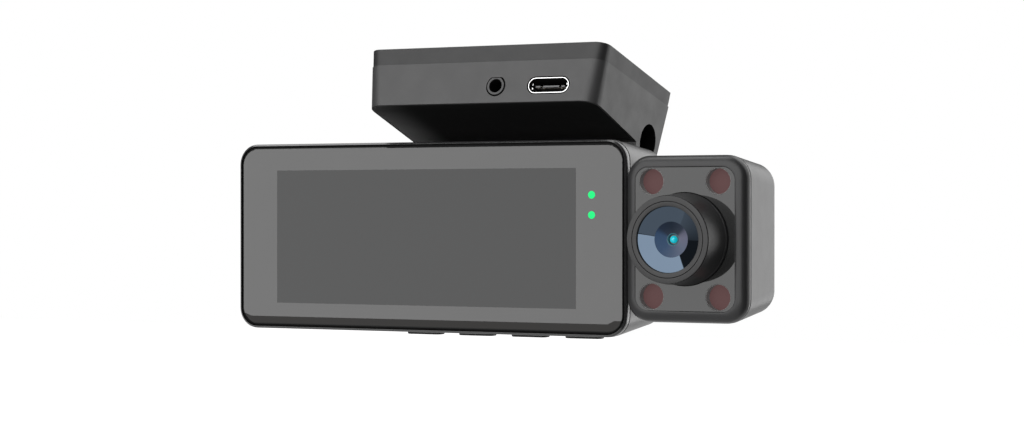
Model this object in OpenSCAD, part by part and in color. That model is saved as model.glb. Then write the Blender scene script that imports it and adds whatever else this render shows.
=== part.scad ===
// Dash camera: a screen body hung from a windscreen bracket, with a tilting cabin camera at its side.
// Millimetres, +Z up, -Y towards the cabin. The origin is the centre of the bracket's adhesive face.

/* [Body] */
// Width of the screen body
body_w = 89.2; // [88:0.2:92]
// Height of the screen body
body_h = 38.5; // [38:0.1:40]
// Depth of the screen body, from the glass to its rear face
body_d = 27; // [26.6:0.2:28]
// Corner radius of the body seen from the front
body_r = 4.2; // [3.8:0.1:4.6]
// Wall thickness of the shells
wall = 1.6; // [1.4:0.1:1.8]

/* [Pod] */
// Width of the cabin camera pod
pod_w = 25; // [24.8:0.1:26]
// Height of the cabin camera pod
pod_h = 32; // [31:0.5:33]
// Depth of the pod behind the glass plane
pod_d = 20; // [19.5:0.5:21]
// Radius of the cabin lens barrel at its front
cabin_r = 8.25; // [8:0.05:8.4]
// How far the cabin lens stands out from the glass plane
cabin_out = 9.45; // [9:0.05:10]

/* [Bracket] */
// Width of the bracket along its adhesive face
bracket_w = 53.8; // [53.4:0.2:54.6]
// Length of the bracket from front to rear
bracket_l = 34.2; // [33.8:0.2:35]
// Height of the bracket's front face
bracket_h = 12.05; // [11.95:0.05:12.4]
// Slope of the adhesive face in the rest position
bracket_tilt = 14.8; // [14.2:0.2:15.2]

/* [Hinges] */
// Radius of the hinge pins
pin_r = 2; // [1.6:0.1:2.1]
// Radial clearance of a pin in its bore
pin_play = 0.05; // [0.03:0.01:0.08]
// Outer radius of the pod's pivot tube
pivot_r = 3.6; // [3.4:0.1:3.7]

/* [Hidden] */
$fn = 64;

gap = 0.1;                         // clearance between fixed neighbours
glass_y = -19.7;                   // front plane of the screen glass
mid_z = -34.9;                     // centre height of the body
pod_z = mid_z - 0.05;              // centre height of the pod and its pivot
body_x = -12.25;                   // centre of the body
pod_x = 45.05;                     // centre of the pod
hinge_y = glass_y + 26.2;          // axis of the bracket hinge
hinge_z = mid_z + 19.3;
knuckle_r = 3.9;
ear_r = 5.6;
ear_in = 19.7;                     // inner faces of the ears
ear_out = 26;
washer_t = 0.4;
knuckle_half = ear_in - washer_t - 0.05;
head_seat = 21.6;                  // floor of the ears' counterbores
counterbore_r = 3.75;
channel_r = ear_r + 0.5;           // room for the ears in the body
channel_half = ear_out + 0.7;

pad_t = 0.8;
cover_t = 3.25;
seam_z = -pad_t - cover_t;         // heights in the bracket's own tilted frame, half way along
seam_lean = 0.8;                   // the seam under the cover rises to the rear
floor_z = -pad_t - bracket_h;
front_y = -bracket_l / 2;
rear_lean = 6.8;                   // lean of the bracket's rear face
draft = 1.2 / bracket_h;           // the bracket's sides narrow downwards
corner_top = 2.7;                  // radius of its front corners at the top
corner_growth = 0.06;              // their growth per millimetre downwards
cover_inset = 0.15;                // step between the cover and the housing
port_z = floor_z + 3.35;
jack_x = 3.8;
jack_z = port_z + 0.1;
usb_x = 15.42;
usb_w = 8.94;                      // outside of the USB-C receptacle's shell
usb_h = 3.26;
usb_wall = 0.3;
jack_r = 1.25;
jack_ring_r = 1.85;
port_play = 0.25;                  // gap round a socket in its opening
corner_e = [4.2, -14.62];          // where the sloping underside meets the hinge
underpan_t = 0.8;
underpan_in = 0.5;
pad_w = 47.5;
pad_l = 28.5;
cover_skin = 1.3;                  // thickness of the cover above its pocket
bracket_post_x = 21.9;             // screw posts inside the bracket
bracket_post_y = [-12.4, 11];
board_t = 1;

shell_y = 2.25;                    // depths behind the glass plane, inside the body
shell_taper = 1.3;
edge_r = 7;                        // rounding of the rear edges
glass_inset = 0.4;
glass_t = 1.5;
lcd_w = 69;
lcd_h = 27.5;
post_x = 38.4;                     // screw posts from the body's centre
post_z = 12.9;
key_x0 = -3.8;                     // first button from the body's centre
key_pitch = 12;
key_y = 8;
key_w = 7.8;
card_w = 11;
road_z = -2.7;                     // road lens axis below the body's centre
pivot_y = 10;                      // pod pivot behind the glass plane
body_side = body_x + body_w / 2;
pod_side = pod_x - pod_w / 2;
window_w = 20.4;
window_h = 27.4;
led_dx = 6.85;
led_dz = 11;
led_r = 2.55;
pod_r = 4.6;                       // corner radius of the pod
pod_taper = 1.2;
pod_edge = 3;
pod_wall = 1.5;
window_y = 0.9;                    // front and back of the pod's window, either side of the glass plane
barrel_base_r = 8.85;
post_r = 2.9;                      // the shell's screw posts, their head bores and thread bores
head_bore_r = 1.7;
thread_bore_r = 1.1;
road_flange_r = 12;
road_hole_r = 9.2;
grille_x = 29;                     // speaker grille and vents, from the body's centre
grille_z = -3;
slot_pitch = 2.6;
slot_w = 1.1;
vent_x = -38;
microphone_x = -14;
reset_x = -20;
pinhole_r = 0.6;
light_x = 25.15;                   // status lights
light_z = mid_z + 8.46;
light_pitch = 3.93;
light_r = 0.75;
room_front = 6.6;                  // space under the knuckle, ahead of the hinge axis and below it
room_low = 12;
lead_x = -23.8;                    // where the bracket's lead enters the ear
lead_r = 0.7;

// ---------- helpers ----------

// Rounded rectangle from squares and circles, so that its corners stay true arcs.
module rrect(w, h, r) {
    square([w - 2 * r, h], center = true);
    square([w, h - 2 * r], center = true);
    for (x = [-1, 1], y = [-1, 1])
        translate([x * (w / 2 - r), y * (h / 2 - r)]) circle(r);
}

// A slot with round ends.
module stadium(w, h) {
    square([w - h, h], center = true);
    for (x = [-1, 1]) translate([x * (w - h) / 2, 0]) circle(h / 2);
}

// Extrudes an XZ outline from depth y0 to y1.
module along_y(y0, y1) {
    translate([0, y1, 0]) rotate([90, 0, 0]) linear_extrude(y1 - y0) children();
}

// Extrudes a YZ outline from x0 to x1.
module along_x(x0, x1) {
    translate([x0, 0, 0]) rotate([90, 0, 90]) linear_extrude(x1 - x0) children();
}

module ring(r_out, r_in) {
    difference() {
        circle(r_out);
        circle(r_in);
    }
}

module block(x0, x1, y0, y1, z0, z1) {
    translate([x0, y0, z0]) cube([x1 - x0, y1 - y0, z1 - z0]);
}

module in_body() translate([body_x, glass_y, mid_z]) children();
module in_pod() translate([pod_x, glass_y, pod_z]) children();
module in_bracket() rotate([-bracket_tilt, 0, 0]) children();
module on_hinge() translate([0, hinge_y, hinge_z]) children();
module on_pivot() translate([0, glass_y + pivot_y, pod_z]) children();
module at_corners(x, z) for (i = [-1, 1], k = [-1, 1]) translate([i * x, 0, k * z]) children();

// A housing that narrows from its open front to a rear with rounded edges.
module tapered_case(w, h, r, y0, y1, taper, edge) {
    hull() {
        along_y(y0, y0 + 0.2) rrect(w, h, r, $fn = 32);
        for (a = [0 : 15 : 90])
            along_y(y1 - edge * (1 - sin(a)) - 0.1, y1 - edge * (1 - sin(a)))
                rrect(w - 2 * taper - 2 * edge * (1 - cos(a)), h - 2 * taper - 2 * edge * (1 - cos(a)),
                      max(0.8, r - edge * (1 - cos(a)) * 0.8), $fn = 32);
    }
}

// ---------- bracket, drawn in its own tilted frame ----------

function rear_y(z) = bracket_l / 2 + (z + pad_t) * tan(rear_lean);
function seam(y) = seam_z + y * tan(seam_lean);

module bracket_plan(w, y1, r) {
    y0 = front_y;
    translate([-w / 2, y0 + r]) square([w, y1 - y0 - r]);
    translate([-w / 2 + r, y0]) square([w - 2 * r, y1 - y0]);
    for (x = [-1, 1]) translate([x * (w / 2 - r), y0 + r]) circle(r);
}

// The bracket's outline in plan, drafted downwards and shrunk by inset.
module bracket_prism(inset) {
    depth = 20;
    hull() {
        for (z = [0, -depth])
            translate([0, 0, z - pad_t - 0.02]) linear_extrude(0.02) offset(delta = -inset)
                bracket_plan(bracket_w + 2 * z * draft, bracket_l / 2, corner_top - z * corner_growth, $fn = 40);
    }
}

slope = (corner_e[1] - floor_z) / (corner_e[0] - front_y);
function under_z(y) = floor_z + (y - front_y) * slope;
hinge_ly = hinge_y * cos(bracket_tilt) - hinge_z * sin(bracket_tilt);
hinge_lz = hinge_y * sin(bracket_tilt) + hinge_z * cos(bracket_tilt);

module housing_profile() {
    polygon([[front_y, seam(front_y)], [front_y, floor_z], corner_e, [hinge_ly, hinge_lz],
             [hinge_ly + ear_r * cos(rear_lean), hinge_lz - ear_r * sin(rear_lean)],
             [rear_y(seam_z), seam(rear_y(seam_z))]]);
    translate([hinge_ly, hinge_lz]) circle(ear_r);
}

module cavity_profile() {
    lift = underpan_t + 0.9;
    polygon([[front_y + wall, 1], [front_y + wall, under_z(front_y + wall) + lift],
             [corner_e[0] - 3, under_z(corner_e[0] - 3) + lift], [rear_y(-12) - wall, -12.2],
             [rear_y(1) - wall, 1]]);
}

module underpan_profile(grow) {
    y0 = front_y + underpan_in;
    polygon([[y0 - grow, under_z(y0 - grow) - 1], [y0 - grow, under_z(y0) + underpan_t + grow],
             [corner_e[0] - 1 + grow, under_z(corner_e[0] - 1) + underpan_t + grow],
             [corner_e[0] - 1 + grow, under_z(corner_e[0] - 1 + grow) - 1]]);
}

module bracket_posts(r, z0, z1) {
    for (x = [-1, 1], y = bracket_post_y)
        translate([x * bracket_post_x, y, z0]) cylinder(h = z1 - z0, r = r);
}

module adhesive_pad() {
    color("dimgray") in_bracket()
        translate([0, 0, -pad_t + 0.02]) linear_extrude(pad_t - 0.02) rrect(pad_w, pad_l, 3);
}

module bracket_cover() {
    color([0.25, 0.25, 0.26]) in_bracket() difference() {
        intersection() {
            bracket_prism(cover_inset);
            translate([0, 0, 0.02]) along_x(-30, 30) polygon([[front_y, 0], [front_y, seam(front_y)],
                [rear_y(seam_z) - cover_inset, seam(rear_y(seam_z))], [rear_y(-pad_t) - cover_inset, 0]]);
            translate([0, 0, -pad_t - 20]) linear_extrude(20) square([80, 60], center = true);
        }
        translate([0, -0.7, seam_z - 1]) linear_extrude(cover_t - cover_skin + 1) rrect(46.8, 26.4, 3);
        bracket_posts(0.95, -8, 0);
        translate([0, 0, -1.6]) bracket_posts(1.55, 0, 2);
    }
}

module bracket_housing() {
    color([0.27, 0.27, 0.28]) difference() {
        in_bracket() difference() {
            intersection() {
                bracket_prism(0);
                along_x(-30, 30) housing_profile();
            }
            difference() {
                intersection() {
                    bracket_prism(wall);
                    along_x(-30, 30) cavity_profile();
                }
                translate([0, hinge_ly, hinge_lz]) rotate([0, 90, 0])
                    cylinder(h = 60, r = ear_r + 0.9, center = true);
                bracket_posts(1.9, -16, 2);
            }
            intersection() {
                bracket_prism(underpan_in - 0.05);
                along_x(-30, 30) underpan_profile(0.05);
            }
            bracket_posts(0.8, -11, 2);
            translate([usb_x, 0, port_z]) along_y(-30, front_y + 3)
                stadium(usb_w + port_play, usb_h + port_play);
            translate([jack_x, 0, jack_z]) along_y(-30, front_y + 3) circle(jack_ring_r + port_play);
        }
        hinge_room();
        on_hinge() rotate([0, 90, 0]) cylinder(h = 80, r = pin_r + pin_play, center = true);
        for (s = [-1, 1])
            on_hinge() translate([s * (head_seat + 10), 0, 0]) rotate([0, 90, 0])
                cylinder(h = 20, r = counterbore_r, center = true);
        on_hinge() translate([lead_x, 0, 0]) rotate([-bracket_tilt, 0, 0]) cylinder(h = 9, r = lead_r + 0.2);
    }
}

// Space between the ears: round the knuckle, and below it out to the rear.
module hinge_room() {
    on_hinge() along_x(-ear_in, ear_in) {
        circle(knuckle_r + 0.35);
        translate([-room_front, -room_low]) square([20 + room_front, room_low - 1]);
        translate([0, -room_low]) square([20, room_low]);
    }
}

module bracket_underpan() {
    color([0.03, 0.03, 0.03]) in_bracket() intersection() {
        bracket_prism(underpan_in);
        along_x(-30, 30) intersection() {
            underpan_profile(0);
            polygon([[front_y, floor_z], [front_y, 0], [corner_e[0], 0], corner_e]);
        }
    }
}

board_top = port_z + 2.72;

module bracket_board() {
    color("darkgreen") in_bracket() difference() {
        translate([-18, front_y + wall + 0.4, board_top - board_t]) cube([36, 21, board_t]);
        translate([-15.5, 2.3, board_top - 2]) cylinder(h = 4, r = 1.1);
    }
}

module usb_shell() {
    color("silver") in_bracket() translate([usb_x, front_y + 0.1, port_z]) difference() {
        along_y(0, 7.3) stadium(usb_w, usb_h);
        along_y(-1, 7) stadium(usb_w - 2 * usb_wall, usb_h - 2 * usb_wall);
    }
}

module usb_tongue() {
    color([0.08, 0.08, 0.08]) in_bracket() translate([usb_x, front_y + 0.1, port_z])
        along_y(0.8, 6.95) square([6.6, 0.7], center = true);
}

module video_jack() {
    color([0.05, 0.05, 0.05]) in_bracket() translate([jack_x, front_y, jack_z]) difference() {
        union() {
            along_y(-0.2, wall + 0.1) circle(jack_ring_r);
            along_y(wall + 0.1, 12) square([5.6, 3], center = true);
        }
        along_y(-1, 11) circle(jack_r);
    }
}

module gps_antenna() {
    color([0.75, 0.68, 0.55]) in_bracket()
        translate([-14, -9, board_top + 0.05]) cube([18, 18, 3.6]);
}

module bracket_screws() {
    color("silver") in_bracket() {
        translate([0, 0, -1.55]) bracket_posts(1.4, 0, 0.7);
        bracket_posts(0.75, -8, -1.55);
    }
}

module bracket_lead() {
    color([0.1, 0.1, 0.1]) on_hinge() translate([lead_x, 0, 0]) {
        rotate([-bracket_tilt, 0, 0]) cylinder(h = 7.2, r = lead_r);
        sphere(lead_r);
        rotate([0, 90, 0]) cylinder(h = 1.1, r = lead_r);
    }
}

// ---------- screen body ----------

module body_outline(inset) rrect(body_w - 2 * inset, body_h - 2 * inset, body_r - inset * 0.7);

module screen_glass() {
    color([0.2, 0.2, 0.2]) in_body() {
        along_y(0.75, glass_t) body_outline(glass_inset);
        along_y(0.3, 0.75) body_outline(glass_inset + 0.15);
        along_y(0, 0.3) body_outline(glass_inset + 0.5);
    }
}

module front_frame() {
    color([0.1, 0.1, 0.1]) in_body() difference() {
        union() {
            along_y(0.4, shell_y - 0.05) body_outline(0);
            along_y(shell_y - 0.05, 5) rrect(body_w - 2 * wall - 0.8, body_h - 2 * wall - 0.8, 3);
        }
        along_y(-1, glass_t + 0.05) body_outline(glass_inset - gap);
        difference() {
            along_y(0, 6) rrect(83.2, 32.6, 1.6);
            for (i = [-1, 1], k = [-1, 1]) {
                translate([i * post_x, 0, k * post_z]) along_y(glass_t + 0.3, 6) circle(2.3);
                translate([i * (post_x + 2), 0, k * (post_z + 2)])
                    along_y(glass_t + 0.3, 6) square([4, 4], center = true);
            }
        }
        at_corners(post_x, post_z) along_y(1.8, 6) circle(0.85);
    }
}

module rear_shell() {
    color([0.3, 0.3, 0.31]) difference() {
        union() {
            difference() {
                in_body() tapered_case(body_w, body_h, body_r, shell_y, body_d, shell_taper, edge_r);
                difference() {
                    in_body() tapered_case(body_w - 2 * wall, body_h - 2 * wall, body_r - wall + 0.4,
                                           shell_y - 1, body_d - wall, shell_taper, edge_r - 1);
                    hinge_channel(channel_r + 1.3, channel_half + 1.3);
                    in_body() at_corners(post_x, post_z) along_y(5.2, body_d - 1) circle(post_r);
                }
                hinge_channel(channel_r, channel_half);
            }
            knuckle();
            in_body() translate([0, 0, road_z]) along_y(body_d - 1, body_d + 3) circle(road_flange_r);
        }
        on_hinge() rotate([0, 90, 0]) cylinder(h = 2 * knuckle_half + 1, r = pin_r, center = true);
        in_body() {
            translate([0, 0, road_z]) along_y(body_d - 2, body_d + 4) circle(road_hole_r);
            at_corners(post_x, post_z) along_y(11, body_d + 1) circle(head_bore_r);
            at_corners(post_x, post_z) along_y(5, 12) circle(thread_bore_r);
            for (i = [0 : 3])
                translate([key_x0 + i * key_pitch, 0, -body_h / 2]) key_hole();
            block(-body_w / 2 - 1, -body_w / 2 + 4, 8.05, 9.35, -card_w / 2 - 0.3, card_w / 2 + 0.3);
            for (i = [-2 : 2])
                translate([grille_x, 0, grille_z + i * slot_pitch])
                    along_y(body_d - 2, body_d + 1) stadium(13, slot_w);
            for (i = [0 : 5])
                translate([vent_x + i * slot_pitch, 0, 2])
                    along_y(body_d - 2, body_d + 1) square([slot_w, 14], center = true);
            for (x = [microphone_x, reset_x])
                translate([x, key_y, -body_h / 2 - 1]) cylinder(h = 3, r = pinhole_r);
        }
        on_pivot() translate([body_side - 3.5, 0, 0]) rotate([0, 90, 0]) cylinder(h = 5, r = pivot_r + 1.05);
        on_pivot() translate([body_side - 1, 0, 0]) rotate([0, 90, 0]) cylinder(h = 3, r = 5.65);
    }
}

module hinge_channel(r, half) on_hinge() rotate([0, 90, 0]) cylinder(h = 2 * half, r = r, center = true);

// The barrel that the pins enter, on a web that stands in the channel.
module knuckle() {
    on_hinge() {
        rotate([0, 90, 0]) cylinder(h = 2 * knuckle_half, r = knuckle_r, center = true);
        along_x(-knuckle_half + 1, knuckle_half - 1) translate([-3.7, -7]) square([3.6, 7]);
    }
}

module key_hole() translate([-key_w / 2 - 0.1, key_y - 1.6, -1]) cube([key_w + 0.2, 3.2, 4]);

module lcd_panel() {
    color([0.12, 0.12, 0.12]) in_body() translate([-0.45, 0, -0.05]) {
        along_y(glass_t + gap, 2.6) square([lcd_w, lcd_h], center = true);
        along_y(2.6, 4) square([71, 31.6], center = true);
    }
}

module mid_frame() {
    color("silver") in_body() difference() {
        along_y(4.1, 5) rrect(71, 31.6, 1.5);
        for (x = [-22, 0, 22]) translate([x, 0, 0]) along_y(3, 6) rrect(14, 18, 2);
    }
}

module status_light(i) {
    color([0.16, 1, 0.56]) translate([light_x, glass_y, light_z - light_pitch * i])
        along_y(glass_t + 0.05, 4) circle(light_r);
}

module main_board() {
    color("darkgreen") in_body() difference() {
        along_y(6.6, 7.8) translate([-35.3, -12.6]) square([70.3, 27]);
        translate([0, 0, road_z]) along_y(6, 9) circle(1.5);
    }
}

module processor() {
    color([0.07, 0.07, 0.07]) in_body() {
        block(8, 20, 7.85, 9, -5, 7);
        block(-22, -13, 7.85, 8.9, 6, 13);
        block(22.5, 29.5, 7.85, 8.8, 3, 12);
    }
}

module heat_spreader() {
    color("silver") in_body() {
        block(13, 33, 9.05, 10, -9, 12);
        for (i = [0 : 6]) block(13 + i * 3.1, 14.2 + i * 3.1, 10, 13, -9, 12);
    }
}

module supercapacitors() {
    color([0.1, 0.1, 0.12]) in_body()
        for (z = [-5.2, 5.2]) translate([-34, 16, z]) rotate([0, 90, 0]) cylinder(h = 18, r = 4);
}

module speaker() {
    color([0.08, 0.08, 0.08]) in_body() translate([grille_x, 0, grille_z]) {
        along_y(18.5, 22.8) circle(6.5);
        along_y(15.5, 18.5) circle(4);
    }
}

module microphone() {
    color("silver") in_body() translate([microphone_x, key_y, -16.9]) cylinder(h = 1.6, r = 2);
}

module card_socket() {
    color("silver") in_body() difference() {
        block(-41.4, -27, 7.85, 9.6, -6.6, 6.6);
        block(-42, -27.6, 8.1, 9.3, -5.65, 5.65);
    }
}

module memory_card() {
    color([0.06, 0.06, 0.06]) in_body() block(-43, -28, 8.25, 9.15, -card_w / 2, card_w / 2);
}

module key_board() {
    color("darkgreen") in_body() block(-9, 35.2, 5.6, 12, -15.4, -14.6);
}

module key_switches() {
    color("silver") in_body()
        for (i = [0 : 3]) translate([key_x0 + i * key_pitch, 0, 0]) block(-1.5, 1.5, 6.6, 9.4, -16.1, -15.45);
}

module button(i) {
    color([0.09, 0.09, 0.09]) in_body() translate([key_x0 + i * key_pitch, key_y, 0]) {
        block(-key_w / 2, key_w / 2, -1.5, 1.5, -20, -16.8);
        block(-key_w / 2 - 0.6, key_w / 2 + 0.6, -2.1, 2.1, -16.9, -16.5);
    }
}

module body_screws() {
    color("silver") in_body() at_corners(post_x, post_z) {
        along_y(11.05, 12.2) circle(1.6);
        along_y(3, 11.05) circle(0.8);
    }
}

module hinge_pin(s) {
    color("silver") on_hinge() difference() {
        union() {
            translate([s * (head_seat + 0.45), 0, 0]) rotate([0, 90, 0])
                cylinder(h = 0.8, r = 3.1, center = true);
            translate([s * (knuckle_half - 7 + head_seat + 0.1) / 2, 0, 0]) rotate([0, 90, 0])
                cylinder(h = head_seat + 0.1 - knuckle_half + 7, r = pin_r, center = true);
        }
        translate([s * 20, 0, 0]) rotate([0, 90, 0]) cylinder(h = 30, r = 1, center = true);
    }
}

module hinge_washers() {
    color("silver") on_hinge() for (s = [-1, 1])
        translate([s * (ear_in - washer_t / 2 - 0.02), 0, 0]) rotate([0, 90, 0])
            linear_extrude(washer_t, center = true) ring(3.6, pin_r + 0.05);
}

// Runs along the hinge axis inside the hollow left pin, so that it only twists.
module body_lead() {
    color([0.1, 0.1, 0.1]) on_hinge() translate([-22.68, 0, 0]) rotate([0, 90, 0]) cylinder(h = 34, r = lead_r);
}

// ---------- road camera in the body's rear ----------

module on_road() in_body() translate([0, 0, road_z]) children();

module road_bezel() {
    color([0.06, 0.06, 0.06]) on_road() along_y(body_d + 3.02, body_d + 4.6) ring(11.2, 8.3);
}

module road_barrel() {
    color([0.08, 0.08, 0.08]) on_road() difference() {
        union() {
            along_y(body_d + 0.5, body_d + 6) circle(8);
            along_y(16.3, body_d + 0.5) circle(6);
        }
        along_y(body_d + 4, body_d + 7) circle(6.6);
        along_y(15, body_d + 5) circle(4.6);
    }
}

// A lens: a disc with one domed face.
module lens(r, rim, dome) {
    rotate([-90, 0, 0]) {
        cylinder(h = rim, r = r);
        translate([0, 0, rim]) intersection() {
            translate([0, 0, dome - (r * r + dome * dome) / (2 * dome)]) sphere((r * r + dome * dome) / (2 * dome));
            cylinder(h = dome + 1, r = r);
        }
    }
}

module road_front_lens() {
    color([0.2, 0.3, 0.5, 0.5]) on_road() translate([0, body_d + 4.05, 0]) lens(6.5, 0.6, 1.6);
}

module road_inner_lens() {
    color([0.2, 0.3, 0.5, 0.5]) on_road() translate([0, body_d - 1, 0]) lens(4.5, 1, 1.2);
}

module road_holder() {
    color([0.08, 0.08, 0.08]) on_road() difference() {
        union() {
            along_y(14.2, 20) circle(7.4);
            along_y(14.2, 15.4) square([22, 15], center = true);
        }
        along_y(13, 21) circle(6.05);
    }
}

module road_sensor_board() {
    color("darkgreen") on_road() {
        along_y(13.1, 14.1) square([24, 17], center = true);
        along_y(14.1, 15) square([8, 6], center = true);
    }
}

// ---------- pod pivot ----------

module x_ring(x0, x1, r_out, r_in) on_pivot() along_x(x0, x1) ring(r_out, r_in);

module pivot_bush() {
    color([0.07, 0.07, 0.07]) {
        x_ring(body_side - 3.2, body_side - 0.95, pivot_r + 1, pivot_r + 0.06);
        x_ring(body_side - 0.95, body_side + 0.15, 5.6, pivot_r + 0.06);
    }
}

module pivot_washer() {
    color("silver") x_ring(body_side - 3.6, body_side - 3.25, 5.6, pivot_r + 0.15);
}

module pivot_clip() {
    color("silver") x_ring(body_side - 4.3, body_side - 3.7, 5.4, pivot_r - 0.45);
}

module pivot_tube() {
    color("silver") difference() {
        union() {
            x_ring(body_side - 5.4, pod_side + 3.9, pivot_r, 2.4);
            x_ring(pod_side + 2.75, pod_side + 3.6, 5, 2.4);
        }
        x_ring(body_side - 4.35, body_side - 3.65, 9, pivot_r - 0.5);
    }
}

// ---------- cabin camera pod ----------

module pod_shell() {
    color([0.32, 0.32, 0.33]) difference() {
        in_pod() difference() {
            tapered_case(pod_w, pod_h, pod_r, 1.65, pod_d, pod_taper, pod_edge);
            tapered_case(pod_w - 2 * pod_wall, pod_h - 2 * pod_wall, pod_r - pod_wall + 0.3,
                         0, pod_d - pod_wall, pod_taper, pod_edge - 1);
        }
        on_pivot() translate([pod_side - 1, 0, 0]) rotate([0, 90, 0]) cylinder(h = 5, r = pivot_r + 0.05);
    }
}

module pod_frame() {
    color([0.12, 0.12, 0.12]) in_pod() difference() {
        hull() {
            along_y(-1, -0.9) rrect(pod_w - 2.6, pod_h - 2.6, 3.4, $fn = 40);
            along_y(-0.6, -0.5) rrect(pod_w - 1.1, pod_h - 1.1, 4.1, $fn = 40);
            along_y(0.4, 1.6) rrect(pod_w, pod_h, pod_r, $fn = 40);
        }
        along_y(-2, 0.95) rrect(window_w + 0.1, window_h + 0.1, 2.15);
        along_y(-2, 3) rrect(19.6, 26.8, 1.8);
    }
}

module at_leds(i) {
    translate([(i % 2 == 0 ? -1 : 1) * led_dx, 0, (i < 2 ? 1 : -1) * led_dz]) children();
}

module pod_window() {
    color([0.2, 0.2, 0.2, 0.8]) in_pod() along_y(-window_y, window_y) difference() {
        rrect(window_w, window_h, 2.1);
        circle(barrel_base_r + gap);
        for (x = [-1, 1], z = [-1, 1]) translate([x * led_dx, z * led_dz]) circle(led_r);
    }
}

module ir_led(i) {
    color([0.38, 0.16, 0.16]) in_pod() at_leds(i) {
        along_y(1.3, 2.9) circle(2.35);
        along_y(2.9, 3.9) circle(2.6);
    }
}

module led_board() {
    color("darkgreen") in_pod() along_y(3.95, 4.85) difference() {
        rrect(19, 26.4, 2);
        circle(6.2);
    }
}

module cabin_barrel() {
    color([0.1, 0.1, 0.1]) in_pod() difference() {
        union() {
            translate([0, 3.5, 0]) rotate([90, 0, 0]) cylinder(h = 4.5, r = barrel_base_r);
            translate([0, -1, 0]) rotate([90, 0, 0])
                cylinder(h = cabin_out - 1, r1 = barrel_base_r, r2 = cabin_r);
            along_y(3.5, 13) circle(6);
        }
        along_y(-cabin_out - 1, -cabin_out + 2.4) circle(6.25);
        along_y(-cabin_out - 1, 14) circle(2.9);
    }
}

module cabin_front_lens() {
    color([0.25, 0.4, 0.6, 0.5]) in_pod() translate([0, -cabin_out + 2.35, 0])
        mirror([0, 1, 0]) lens(3.2, 0.4, 0.8);
}

// The cone that leads from the front ring down to the lens.
module cabin_baffle() {
    color([0.05, 0.05, 0.06]) in_pod() translate([0, -cabin_out + 2.35, 0]) rotate([90, 0, 0]) difference() {
        cylinder(h = 2, r = 6.15);
        translate([0, 0, 0.4]) cylinder(h = 1.62, r1 = 3.5, r2 = 6);
        translate([0, 0, -1]) cylinder(h = 4, r = 3.3);
    }
}

module cabin_sensor_board() {
    color("darkgreen") in_pod() {
        along_y(13.1, 14) square([17, 20], center = true);
        along_y(12.3, 13.1) square([4.2, 3.6], center = true);
    }
}

// Along the pivot axis inside the tube, so that it only twists when the pod tilts.
module pod_lead() {
    color([0.1, 0.1, 0.1]) on_pivot() translate([body_side - 7, 0, 0]) rotate([0, 90, 0])
        cylinder(h = 12, r = 1.6);
}

adhesive_pad();
bracket_cover();
bracket_housing();
bracket_underpan();
bracket_board();
usb_shell();
usb_tongue();
video_jack();
gps_antenna();
bracket_screws();
bracket_lead();
screen_glass();
front_frame();
rear_shell();
lcd_panel();
mid_frame();
status_light(0);  // status_light_1
status_light(1);  // status_light_2
main_board();
processor();
heat_spreader();
supercapacitors();
speaker();
microphone();
card_socket();
memory_card();
key_board();
key_switches();
button(0);  // button_1
button(1);  // button_2
button(2);  // button_3
button(3);  // button_4
body_screws();
hinge_pin(-1);  // hinge_pin_left
hinge_pin(1);  // hinge_pin_right
hinge_washers();
body_lead();
road_bezel();
road_barrel();
road_front_lens();
road_inner_lens();
road_holder();
road_sensor_board();
pivot_bush();
pivot_washer();
pivot_clip();
pivot_tube();
pod_shell();
pod_frame();
pod_window();
ir_led(0);  // ir_led_1
ir_led(1);  // ir_led_2
ir_led(2);  // ir_led_3
ir_led(3);  // ir_led_4
led_board();
cabin_barrel();
cabin_front_lens();
cabin_baffle();
cabin_sensor_board();
pod_lead();
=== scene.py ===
"""Dash camera with a tilting cabin camera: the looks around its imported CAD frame.

Lengths are in millimetres in the CAD's own axes: X to the right, Y away from the cabin, Z up.
"""

import math

import bmesh
import bpy
from mathutils import Matrix, Vector


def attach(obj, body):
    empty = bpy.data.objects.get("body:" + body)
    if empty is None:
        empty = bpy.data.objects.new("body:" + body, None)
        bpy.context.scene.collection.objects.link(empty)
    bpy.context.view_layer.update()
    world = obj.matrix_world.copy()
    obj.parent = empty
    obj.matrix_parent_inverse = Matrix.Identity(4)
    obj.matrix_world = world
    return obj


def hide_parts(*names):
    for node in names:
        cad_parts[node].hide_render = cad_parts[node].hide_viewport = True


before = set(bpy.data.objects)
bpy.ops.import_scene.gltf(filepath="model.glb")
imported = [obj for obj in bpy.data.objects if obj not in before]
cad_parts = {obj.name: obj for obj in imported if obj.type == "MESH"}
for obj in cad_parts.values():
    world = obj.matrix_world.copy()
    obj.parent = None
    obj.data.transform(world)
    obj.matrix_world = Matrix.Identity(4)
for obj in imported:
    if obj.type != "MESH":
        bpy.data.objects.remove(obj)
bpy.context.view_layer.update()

MM = 0.001

# ---------------------------------------------------------------- camera
CAMERA_AT = (211.55, -421.3, -29.4)
CAMERA_YAW = 26.9
CAMERA_PITCH = -0.239
LENS, SENSOR = 80.0, 36.0
NEAREST, FARTHEST = 0.01, 50.0

camera_data = bpy.data.cameras.new("camera")
camera_data.lens = LENS
camera_data.sensor_width = SENSOR
camera_data.clip_start = NEAREST
camera_data.clip_end = FARTHEST
camera = bpy.data.objects.new("camera", camera_data)
camera.location = Vector(CAMERA_AT) * MM
camera.rotation_euler = (math.radians(90 + CAMERA_PITCH), 0, math.radians(CAMERA_YAW))
bpy.context.scene.collection.objects.link(camera)
bpy.context.scene.camera = camera
bpy.context.scene.view_settings.view_transform = "Standard"

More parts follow.
